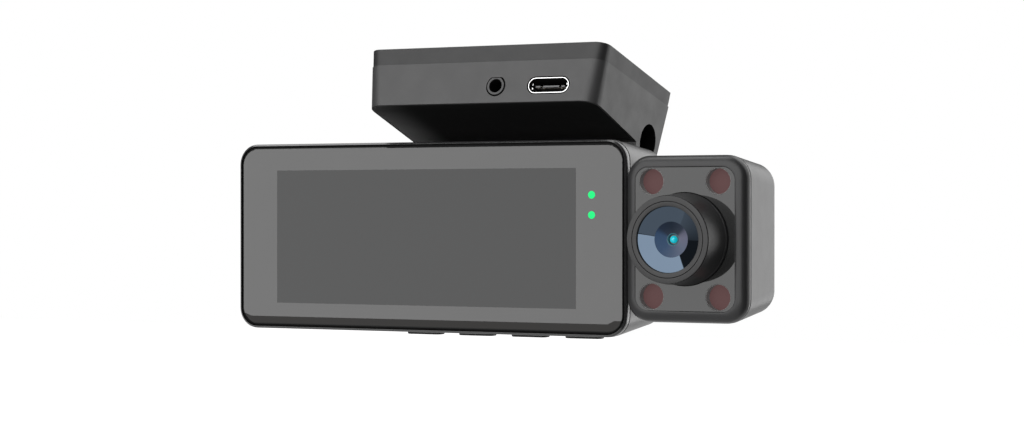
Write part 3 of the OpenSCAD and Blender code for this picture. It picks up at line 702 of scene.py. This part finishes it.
road_profile = [(4.6, 16.3), (6.0, 16.3), (6.0, 27.5), (8.0, 27.5), (8.0, 32.7), (7.9, 32.9), (7.7, 33.0),
                (6.95, 33.0), (6.75, 32.9), (6.62, 32.7), (6.6, 31.05), (4.6, 31.05), (4.6, 29.6), (4.2, 29.4),
                (4.6, 29.0), (4.6, 16.3)]
road_tube = lathe_y("road_lens_barrel", road_profile, BODY_X, ROAD_Z, GLASS_Y, M["barrel"])
put(road_tube, "screen_body", ("road_barrel",))


def dome_profile(r, y, edge, rise, steps=12):
    """Half section of a domed disc: flat face at y, a straight edge, then a dome that rises along Y."""
    sphere_r = (r * r + rise * rise) / (2 * rise)
    points = [(0, y), (r, y), (r, y + edge)]
    for i in range(1, steps + 1):
        radius = r * (1 - i / steps)
        height = math.sqrt(sphere_r ** 2 - radius ** 2) - (sphere_r - rise)
        points.append((radius, y + edge + height))
    return points


road_lens = lathe_y("road_lens", dome_profile(6.5, 31.1, 0.5, 1.5), BODY_X, ROAD_Z, GLASS_Y, M["lens_dark"])
put(road_lens, "screen_body", ("road_front_lens",))

# ---------------------------------------------------------------- keys and status lights
KEY_LOW = MID_Z - 20.0
# inset and height of a key's outline, from its rounded lower face up to its flange
key_profile = [(0.2, 0.0), (0.1, 0.03), (0.03, 0.1), (0.0, 0.22), (0.0, 0.55), (0.0, 3.1)]
for i, body in enumerate(("button_one", "button_two", "button_three", "button_four")):
    key_x = BODY_X + KEY_X0 + i * KEY_PITCH
    key_y = GLASS_Y + KEY_Y
    flange = rounded_loop(KEY_W + 1.2, KEY_D + 1.2, 0.8, 8, key_x, key_y)
    loops = []
    for inset, z in key_profile:
        outline = rounded_loop(KEY_W - 2 * inset, KEY_D - 2 * inset, 1.0 - inset * 0.6, 8, key_x, key_y)
        loops.append(at_z(outline, KEY_LOW + z))
    loops += [at_z(flange, KEY_LOW + 3.1), at_z(flange, KEY_LOW + 3.5)]
    key = loft(f"key_cap_{i + 1}", loops, M["keys"], sharp=40)
    put(key, body, (f"button_{i + 1}",))

LIGHT_X, LIGHT_Z, LIGHT_PITCH = 25.15, MID_Z + 8.46, 3.93
light_profile = [(0, 0.9), (0.75, 0.9), (0.75, -0.01), (0.7, -0.03), (0.4, -0.05), (0, -0.06)]
for i in range(2):
    dot = lathe_y(f"status_dot_{i + 1}", light_profile, LIGHT_X, LIGHT_Z - LIGHT_PITCH * i, GLASS_Y, M["green"], 32)
    put(dot, "screen_body", (f"status_light_{i + 1}",))

# ---------------------------------------------------------------- bracket wedge, in its own tilted axes
CREASE = 20
FRONT_R, FRONT_R_DROP = 2.7, 0.06
CORNER_SIDE = 0.8
WIDE = 30
COUNTERBORE_R, COUNTERBORE_IN = 3.75, 21.6
hinge_ly = HINGE_Y * math.cos(TILT) - HINGE_Z * math.sin(TILT)
hinge_lz = HINGE_Y * math.sin(TILT) + HINGE_Z * math.cos(TILT)
under_slope = (CORNER_E[1] - FLOOR_Z) / (CORNER_E[0] - FRONT_Y)


def rear_y(z):
    """Depth of the leaning rear face at height z."""
    return -FRONT_Y + (z + PAD_T) * math.tan(REAR_LEAN)


def seam_at(y):
    """Height of the seam under the cover."""
    return SEAM_Z + y * math.tan(SEAM_LEAN)


def under_z(y):
    """Height of the sloping underside."""
    return FLOOR_Z + (y - FRONT_Y) * under_slope


def plan_loop(z, inset, seg=14):
    """The bracket's outline in plan at height z; each front corner meets its side at a crease."""
    r = FRONT_R - FRONT_R_DROP * z - inset
    side = (BRACKET_W + 2 * (z + PAD_T) * DRAFT - 2 * inset) / 2
    front = FRONT_Y + inset
    rear = -FRONT_Y - inset + 0.3
    points = arc(side - CORNER_SIDE, rear - CORNER_SIDE, CORNER_SIDE, 0, 90, seg)
    points += arc(-side + CORNER_SIDE, rear - CORNER_SIDE, CORNER_SIDE, 90, 180, seg)
    points += arc(-side + r, front + r, r, 180, 180, 0)
    points += arc(-side + r, front + r, r, 180 + CREASE, 270, seg - 1)
    points += arc(side - r, front + r, r, 270, 360 - CREASE, seg - 1)
    points += arc(side - r, front + r, r, 360, 360, 0)
    return at_z(points, z)


def bracket_prism(name, inset, outline, material, top=2.0, bottom=-22.0):
    """The bracket's plan run up and down, and cut to a side view's outline."""
    block = loft(name, [plan_loop(bottom, inset), plan_loop(top, inset)], material)
    combine(block, [prism("side", outline, "x", -WIDE, WIDE, material)], "INTERSECT")
    return block


def flat_topped(r, flat):
    """A circle about the jack with its top cut off at a height."""
    start = math.degrees(math.asin(flat / r))
    return arc(JACK_X, JACK_Z, r, 180 - start, 360 + start, 72)


def hinge_room():
    """Cuts for the body's knuckle and the pins' heads, made upright and then tilted."""
    front, rear, low = HINGE_Y - 6.6, HINGE_Y + 20, HINGE_Z - 12
    room = [(front, HINGE_Z - 1), (front, low), (rear, low), (rear, HINGE_Z), (HINGE_Y, HINGE_Z)]
    cuts = [
        prism("room", room, "x", -EAR_IN, EAR_IN, M["housing"]),
        cylinder_x("round_room", KNUCKLE_R + 0.35, -EAR_IN, EAR_IN, HINGE_Y, HINGE_Z),
        cylinder_x("counterbore", COUNTERBORE_R, -WIDE - 2, -COUNTERBORE_IN, HINGE_Y, HINGE_Z, 72),
        cylinder_x("counterbore", COUNTERBORE_R, COUNTERBORE_IN, WIDE + 2, HINGE_Y, HINGE_Z, 72),
    ]
    for cut in cuts:
        cut.data.transform(Matrix.Rotation(TILT, 4, "X"))
    return cuts


side_outline = [(FRONT_Y - 1, seam_at(FRONT_Y)), (FRONT_Y - 1, under_z(FRONT_Y - 1)), CORNER_E]
side_outline += arc(hinge_ly, hinge_lz, EAR_R, 180 + math.degrees(TILT), 360 - math.degrees(REAR_LEAN), 40)
side_outline += [(rear_y(SEAM_Z), seam_at(rear_y(SEAM_Z)))]
housing = bracket_prism("bracket_wedge", 0, side_outline, M["housing"])
port_cuts = [
    prism("usb_cut", stadium_loop(9.3, 3.62, 14, USB_X, PORT_Z), "y", FRONT_Y - 3, FRONT_Y + 5, M["gap"]),
    prism("jack_cut", flat_topped(2.13, 1.8), "y", FRONT_Y - 3, FRONT_Y + 5, M["gap"]),
]
# the walls of the ports, the round room for the knuckle and the counterbores take the cutters' near-black painted
# shade
combine(housing, hinge_room() + port_cuts, "DIFFERENCE", 32, True)
soften(housing, 0.12)
put(housing, "bracket", ("bracket_housing",), IN_BRACKET)

seam_rise = 0.02
cover_rear = rear_y(SEAM_Z)
cover_outline = [(FRONT_Y - 1, seam_at(FRONT_Y) + seam_rise),
                 (cover_rear - COVER_INSET, seam_at(cover_rear) + seam_rise),
                 (-FRONT_Y - COVER_INSET, -PAD_T), (FRONT_Y - 1, -PAD_T)]
cover = bracket_prism("bracket_top_plate", COVER_INSET, cover_outline, M["cover"], 0.5, -8)
soften(cover, 0.18)
put(cover, "bracket", ("bracket_cover",), IN_BRACKET)

PAD_W, PAD_L, PAD_R = 47.5, 28.5, 3
pad_loops = []
for inset, z in ((0.0, -0.78), (0.0, -0.14), (0.05, -0.04), (0.16, 0.0)):
    pad_loops.append(at_z(rounded_loop(PAD_W - 2 * inset, PAD_L - 2 * inset, PAD_R - inset, 8), z))
pad = loft("foam_adhesive", pad_loops, M["foam"], sharp=40)
put(pad, "bracket", ("adhesive_pad",), IN_BRACKET)

PAN_INSET, PAN_PROUD, PAN_IN = 0.45, 0.06, 0.7
pan_front, pan_rear = FRONT_Y + PAN_INSET, CORNER_E[0] - 0.4
pan_outline = [(pan_front, under_z(pan_front) - PAN_PROUD), (pan_rear, under_z(pan_rear) - PAN_PROUD),
               (pan_rear, under_z(CORNER_E[0]) + PAN_IN), (pan_front, under_z(FRONT_Y) + PAN_IN)]
# the under panel's black is painted shade, its grey left end painted light
pan = bracket_prism("bracket_under_panel", PAN_INSET, pan_outline, M["underpan"])
soften(pan, 0.1, 2)
put(pan, "bracket", ("bracket_underpan",), IN_BRACKET)

# ---------------------------------------------------------------- USB-C port and jack
USB_W, USB_H = 8.94, 3.26
TONGUE_W, TONGUE_T = 6.4, 0.38
CONTACTS, CONTACT_PITCH = 12, 0.5
# inset and depth of the receptacle's wall, from inside over its bright lip to its bore
usb_profile = [(0.0, 7.2), (0.0, 0.16), (0.03, 0.06), (0.07, 0.02), (0.19, 0.02), (0.22, 0.05), (0.37, 0.22),
               (0.37, 7.2)]


def usb_loop(w, h, seg=14):
    """A slot outline about the port's middle."""
    return stadium_loop(w, h, seg, USB_X, PORT_Z)


def usb_bar(name, w, h, r, seg, x, z, depth, material):
    """A rounded bar along Y, placed from the port's middle, between two depths from the front face."""
    outline = rounded_loop(w, h, r, seg, USB_X + x, PORT_Z + z)
    return prism(name, outline, "y", FRONT_Y + depth[0], FRONT_Y + depth[1], material)


usb_loops = [at_y(usb_loop(USB_W - 2 * i, USB_H - 2 * i), FRONT_Y + y) for i, y in usb_profile]
# the receptacle's bore takes the near-black painted shade
usb = loft("usb_receptacle", usb_loops, M["bright"], ring=True, sharp=50, slots=[0, 0, 0, 0, 1, 1, 1, 0],
           extra=(M["gap"],))
put(usb, "bracket", ("usb_shell",), IN_BRACKET)
tongue = usb_bar("usb_centre_tongue", TONGUE_W, TONGUE_T, 0.12, 4, 0, 0, (0.9, 7), M["tongue"])
notches = [usb_bar("notch", w, 1.2, 0.1, 3, x, 0, (0, 1.6), M["black"]) for x, w in ((-1.84, 0.55), (2.2, 0.5))]
combine(tongue, notches, "DIFFERENCE", 32, True)
soften(tongue, 0.06, 2, 40)
put(tongue, "bracket", ("usb_tongue",), IN_BRACKET)
for row, face in (("low", -1), ("high", 1)):
    for i in range(CONTACTS):
        x = CONTACT_PITCH * (i - (CONTACTS - 1) / 2)
        depth = (1.3 + 0.2 * (i % 3), 5.5)
        contact = usb_bar(f"usb_contact_{row}_{i + 1}", 0.24, 0.08, 0.03, 2, x, face * 0.21, depth, M["contacts"])
        put(contact, "bracket", (), IN_BRACKET)
for side, sx in (("left", -1), ("right", 1)):
    for row, z in (("low", -0.45), ("high", 0.4)):
        latch = usb_bar(f"usb_latch_{side}_{row}", 0.3, 0.36, 0.1, 4, sx * 3.78, z, (0.7, 3.4), M["steel"])
        put(latch, "bracket", (), IN_BRACKET)
usb_back = prism("usb_rear_wall", usb_loop(8.2, 2.5, 12), "y", FRONT_Y + 6.6, FRONT_Y + 7.1, M["black"])
put(usb_back, "bracket", (), IN_BRACKET)

bore_profile = [(0, -1), (1.42, -1), (1.42, -0.18), (1.25, -0.04), (1.25, 8), (0, 8)]
jack = prism("jack_socket", flat_topped(1.86, 1.62), "y", FRONT_Y - 0.18, FRONT_Y + 9, M["housing"])
# the jack's bore takes the near-black painted shade
bore = lathe_y("bore", bore_profile, JACK_X, JACK_Z, FRONT_Y, M["gap"], 64)
combine(jack, [bore], "DIFFERENCE", 32, True)
soften(jack, 0.06, 2, 40)
put(jack, "bracket", ("video_jack",), IN_BRACKET)

# ---------------------------------------------------------------- pod case, frame and window
NOSE_Y = -1.0
NOSE_ACROSS, NOSE_DEEP, NOSE_FLAT = 1.95, 1.55, 2.1
NOSE_END, NOSE_STEPS = math.radians(74), 14
POD_TAPER, POD_EDGE, POD_WALL, POD_LIP = 1.2, 3.0, 1.5, 0.1
WINDOW_W, WINDOW_H, WINDOW_R, WINDOW_T = 20.43, 27.43, 2.1, 1.8


def pod_loop(inset, y):
    """The pod's outline drawn in by inset, at a depth behind the glass."""
    r = POD_R - inset * CORNER_DROP
    return at_y(rounded_loop(POD_W - 2 * inset, POD_H - 2 * inset, r, 12, POD_X, POD_Z), GLASS_Y + y)


# inset and depth, from the window's seat over the rounded nose to the seam and back
nose = [(2.27, 0.95), (2.27, -0.93), (2.22, -0.98), (NOSE_FLAT, NOSE_Y)]
for step in range(1, NOSE_STEPS + 1):
    t = NOSE_END * step / NOSE_STEPS
    nose.append((NOSE_FLAT - NOSE_ACROSS * math.sin(t), NOSE_Y + NOSE_DEEP * (1 - math.cos(t))))
nose += [(0.0, 0.9), (0.0, 1.45), (0.06, 1.55), (0.2, 1.6), (2.6, 1.6), (2.6, 0.95)]
pod_rim = loft("pod_nose_frame", [pod_loop(i, y) for i, y in nose], M["pod_frame"], ring=True, sharp=45)
put(pod_rim, "pod", ("pod_frame",))

pod_case = cup("pod_casing", POD_W, POD_H, POD_R, POD_X, POD_Z, GLASS_Y + 1.68, GLASS_Y + POD_D, POD_TAPER,
               POD_EDGE, POD_WALL, M["pod_case"], POD_LIP, 12)
combine(pod_case, [cylinder_x("pivot_cut", 3.65, POD_LEFT - 1, POD_LEFT + 4, PIVOT_Y, POD_Z)], "DIFFERENCE", 38)
soften(pod_case, 0.12, 2, 38)
put(pod_case, "pod", ("pod_shell",))

window_outline = rounded_loop(WINDOW_W, WINDOW_H, WINDOW_R, 10, POD_X, POD_Z)
window = prism("pod_front_window", window_outline, "y", GLASS_Y - WINDOW_T / 2, GLASS_Y + WINDOW_T / 2, M["window"])
led_places = [(POD_X + sx * LED_DX, POD_Z + sz * LED_DZ) for sz in (1, -1) for sx in (-1, 1)]
cuts = [cylinder_y("led_cut", 2.55, x, z, GLASS_Y - 2, GLASS_Y + 2, 64) for x, z in led_places]
cuts.append(cylinder_y("barrel_cut", 8.95, POD_X, POD_Z, GLASS_Y - 2, GLASS_Y + 2, 96))
combine(window, cuts)
soften(window, 0.04, 2)
put(window, "pod", ("pod_window",))

# radius and depth: a thin sleeve that stands in the window, and the dark red face at its foot; both glow with painted
# light
led_profile = [(0, 3.8), (2.54, 3.8), (2.54, -0.84), (2.5, -0.86), (2.47, -0.84), (2.47, 0.9), (2.4, 0.88),
               (1.2, 0.84), (0, 0.82)]
for i, (x, z) in enumerate(led_places):
    led = lathe_y(f"infrared_light_{i + 1}", led_profile, x, z, GLASS_Y, M["red"], 48,
                  slots=[0, 1, 1, 1, 1, 0, 0, 0], extra=(M["sleeve"],))
    put(led, "pod", (f"ir_led_{i + 1}",))

# ---------------------------------------------------------------- cabin lens: radius and depth behind the glass
FACE_Y = -9.45
CONE_Y = FACE_Y + 0.6
CONE_IN = CONE_Y + 1.38
PIT_Y = CONE_IN + 0.95
GROOVE = 0.05
barrel_profile = [(0, 13), (6, 13), (6, 3.5), (8.85, 3.5), (8.85, -1.0), (8.79, -1.62), (8.79 - GROOVE, -1.65),
                  (8.78 - GROOVE, -1.72), (8.78, -1.75), (8.62, -4.1), (8.42, -7.9), (8.3, FACE_Y + 0.55),
                  (8.28, FACE_Y + 0.25), (8.22, FACE_Y + 0.22), (8.22, FACE_Y + 0.14), (8.23, FACE_Y + 0.1),
                  (8.18, FACE_Y + 0.02), (8.1, FACE_Y), (7.25, FACE_Y), (7.22, FACE_Y + 0.1),
                  (7.14, FACE_Y + 0.1), (7.11, FACE_Y), (6.4, FACE_Y), (6.3, FACE_Y + 0.04),
                  (6.24, FACE_Y + 0.2), (6.22, FACE_Y + 0.6)]
# the grooves behind and on the barrel's face take the near-black painted shade
barrel = lathe_y("cabin_lens_barrel", barrel_profile, POD_X, POD_Z, GLASS_Y, M["barrel"], 128,
                 slots=[0] * 12 + [2, 2, 2, 0, 0, 1, 2, 2, 2, 1, 1, 1, 1], extra=(M["barrel_ring"], M["gap"]),
                 sharp=28)
put(barrel, "pod", ("cabin_barrel",))

cone_profile = [(6.23, CONE_Y + 0.05), (6.2, CONE_Y), (3.38, CONE_IN), (3.38, CONE_IN + 0.4),
                (6.23, CONE_IN + 0.4), (6.23, CONE_Y + 0.05)]
cone = lathe_y("lens_cone", cone_profile, POD_X, POD_Z, GLASS_Y, M["cone"], 160)
put(cone, "pod", ("cabin_baffle",))

# a hollow disc with a painted reflection, then the teal ring, the dark pit and the bright core; ring and core glow
# with painted light
inner_profile = [(0, PIT_Y + 0.9), (3.37, PIT_Y + 0.9), (3.37, CONE_IN + 0.02), (3.3, CONE_IN + 0.03),
                 (1.3, PIT_Y), (1.22, PIT_Y - 0.03), (1.14, PIT_Y), (0.98, PIT_Y + 0.2), (0.92, PIT_Y + 0.5),
                 (0.72, PIT_Y + 0.5), (0.7, PIT_Y + 0.28), (0.62, PIT_Y + 0.02), (0.48, PIT_Y - 0.16),
                 (0.26, PIT_Y - 0.3), (0, PIT_Y - 0.35)]
inner = lathe_y("cabin_lens", inner_profile, POD_X, POD_Z, GLASS_Y, M["inner_lens"], 96,
                slots=[0] * 5 + [1, 1, 2, 2, 3, 3, 3, 3, 3], extra=(M["lens_teal"], M["lens_pit"], M["lens_core_painted_glow"]),
                sharp=50)
put(inner, "pod", ("cabin_front_lens",))

# ---------------------------------------------------------------- CAD nodes that stay
kept = {
    "oxide": ["hinge_pin_left", "hinge_pin_right"],
    "steel": ["bracket_screws", "body_screws", "hinge_washers", "pivot_washer", "pivot_clip", "pivot_tube",
              "key_switches", "card_socket", "microphone", "mid_frame"],
    "alu": ["heat_spreader"],
    "board": ["bracket_board", "main_board", "key_board", "led_board", "cabin_sensor_board", "road_sensor_board"],
    "black": ["speaker", "processor", "memory_card", "road_holder", "supercapacitors", "pivot_bush"],
    "ceramic": ["gps_antenna"],
    "lcd": ["lcd_panel"],
    "lens_dark": ["road_inner_lens"],
    "lead": ["bracket_lead", "body_lead", "pod_lead"],
}
for finish, names in kept.items():
    for name in names:
        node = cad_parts[name]
        refinish(node, M[finish])
        soften(node, 0.06, 2, 35)

# ---------------------------------------------------------------- lights, in metres
AIM = Vector((0, 0, -0.035))


def softbox(name, azimuth, elevation, distance, size, radiance):
    """A soft light of a given radiance, hidden from the camera; azimuth is 0 in front and 90 at the right."""
    a = math.radians(azimuth)
    e = math.radians(elevation)
    away = Vector((math.sin(a) * math.cos(e), -math.cos(a) * math.cos(e), math.sin(e))) * distance
    data = bpy.data.lights.new(name, "AREA")
    data.shape = "RECTANGLE"
    data.size, data.size_y = size
    data.energy = radiance * math.pi * size[0] * size[1]
    light = bpy.data.objects.new(name, data)
    light.location = AIM + away
    light.rotation_euler = (-away).to_track_quat("-Z", "Y").to_euler()
    light.visible_camera = False
    bpy.context.scene.collection.objects.link(light)


softbox("front_softbox", -6.5, 21, 1.0, (1.84, 1.24), 2.9)
softbox("rear_right_softbox", 155, 25, 1.0, (1.04, 1.7), 1.85)
softbox("overhead_softbox", -90, 68, 0.9, (0.62, 0.8), 3.3)

# ---------------------------------------------------------------- studio around the object
# a dark wall at the left, a grey wall elsewhere, and a floor that is pale in front and dim at the right
LEFT_WALL, GREY_WALL, RIGHT_WALL, PALE_FLOOR, DIM_FLOOR = 0.09, 0.2, 0.06, 0.9, 0.12
LEFT_FLOOR, LEFT_SLOPE = 0.23, -0.85
WALL_X = -0.735
DIM_X = 0.55
FLOOR_EDGE = -0.18

world = bpy.data.worlds.new("studio")
world.use_nodes = True
bpy.context.scene.world = world
tree = world.node_tree
tree.nodes.clear()


def math_node(operation, one, two):
    """A maths node of the studio; each input is a socket or a number."""
    node = tree.nodes.new("ShaderNodeMath")
    node.operation = operation
    for index, value in enumerate((one, two)):
        if isinstance(value, (int, float)):
            node.inputs[index].default_value = value
        else:
            tree.links.new(value, node.inputs[index])
    return node.outputs["Value"]


def blend(flag, off, on):
    """on where flag is 1, off where it is 0."""
    return math_node("ADD", off, math_node("MULTIPLY", flag, math_node("SUBTRACT", on, off)))


direction = tree.nodes.new("ShaderNodeTexCoord")
axes = tree.nodes.new("ShaderNodeSeparateXYZ")
tree.links.new(direction.outputs["Generated"], axes.inputs["Vector"])
toward_x, toward_z = axes.outputs["X"], axes.outputs["Z"]
at_left = math_node("LESS_THAN", toward_x, WALL_X)
at_right = math_node("GREATER_THAN", toward_x, DIM_X)
left_floor = math_node("ADD", LEFT_FLOOR, math_node("MULTIPLY", toward_z, LEFT_SLOPE))
left_side = blend(math_node("LESS_THAN", toward_z, 0.0), LEFT_WALL, left_floor)
floor_side = blend(at_right, PALE_FLOOR, DIM_FLOOR)
wall_side = blend(at_right, GREY_WALL, RIGHT_WALL)
other_side = blend(math_node("LESS_THAN", toward_z, FLOOR_EDGE), wall_side, floor_side)

# the studio lights the object and shows in its reflections; the camera itself sees plain white
fill = tree.nodes.new("ShaderNodeBackground")
fill.inputs["Color"].default_value = (1, 1, 1, 1)
tree.links.new(blend(at_left, other_side, left_side), fill.inputs["Strength"])
seen = tree.nodes.new("ShaderNodeBackground")
seen.inputs["Color"].default_value = (1, 1, 1, 1)
seen.inputs["Strength"].default_value = 1.0
path = tree.nodes.new("ShaderNodeLightPath")
mix = tree.nodes.new("ShaderNodeMixShader")
out = tree.nodes.new("ShaderNodeOutputWorld")
tree.links.new(path.outputs["Is Camera Ray"], mix.inputs["Fac"])
tree.links.new(fill.outputs["Background"], mix.inputs[1])
tree.links.new(seen.outputs["Background"], mix.inputs[2])
tree.links.new(mix.outputs["Shader"], out.inputs["Surface"])

# the pale floor, in view but outside the object's light
FLOOR_HALF = 6000
FLOOR_AT = -420
corners = [(sx * FLOOR_HALF, sy * FLOOR_HALF, FLOOR_AT) for sx, sy in ((-1, -1), (1, -1), (1, 1), (-1, 1))]
pale_floor = finish_material("pale_floor", (0.92, 0.92, 0.92), 0.9, tint=0.0, bump=0.0, emission=(1, 1, 1))
floor = build("floor", corners, [(0, 1, 2, 3)], pale_floor)
floor.visible_diffuse = False
floor.visible_glossy = False
floor.visible_shadow = False
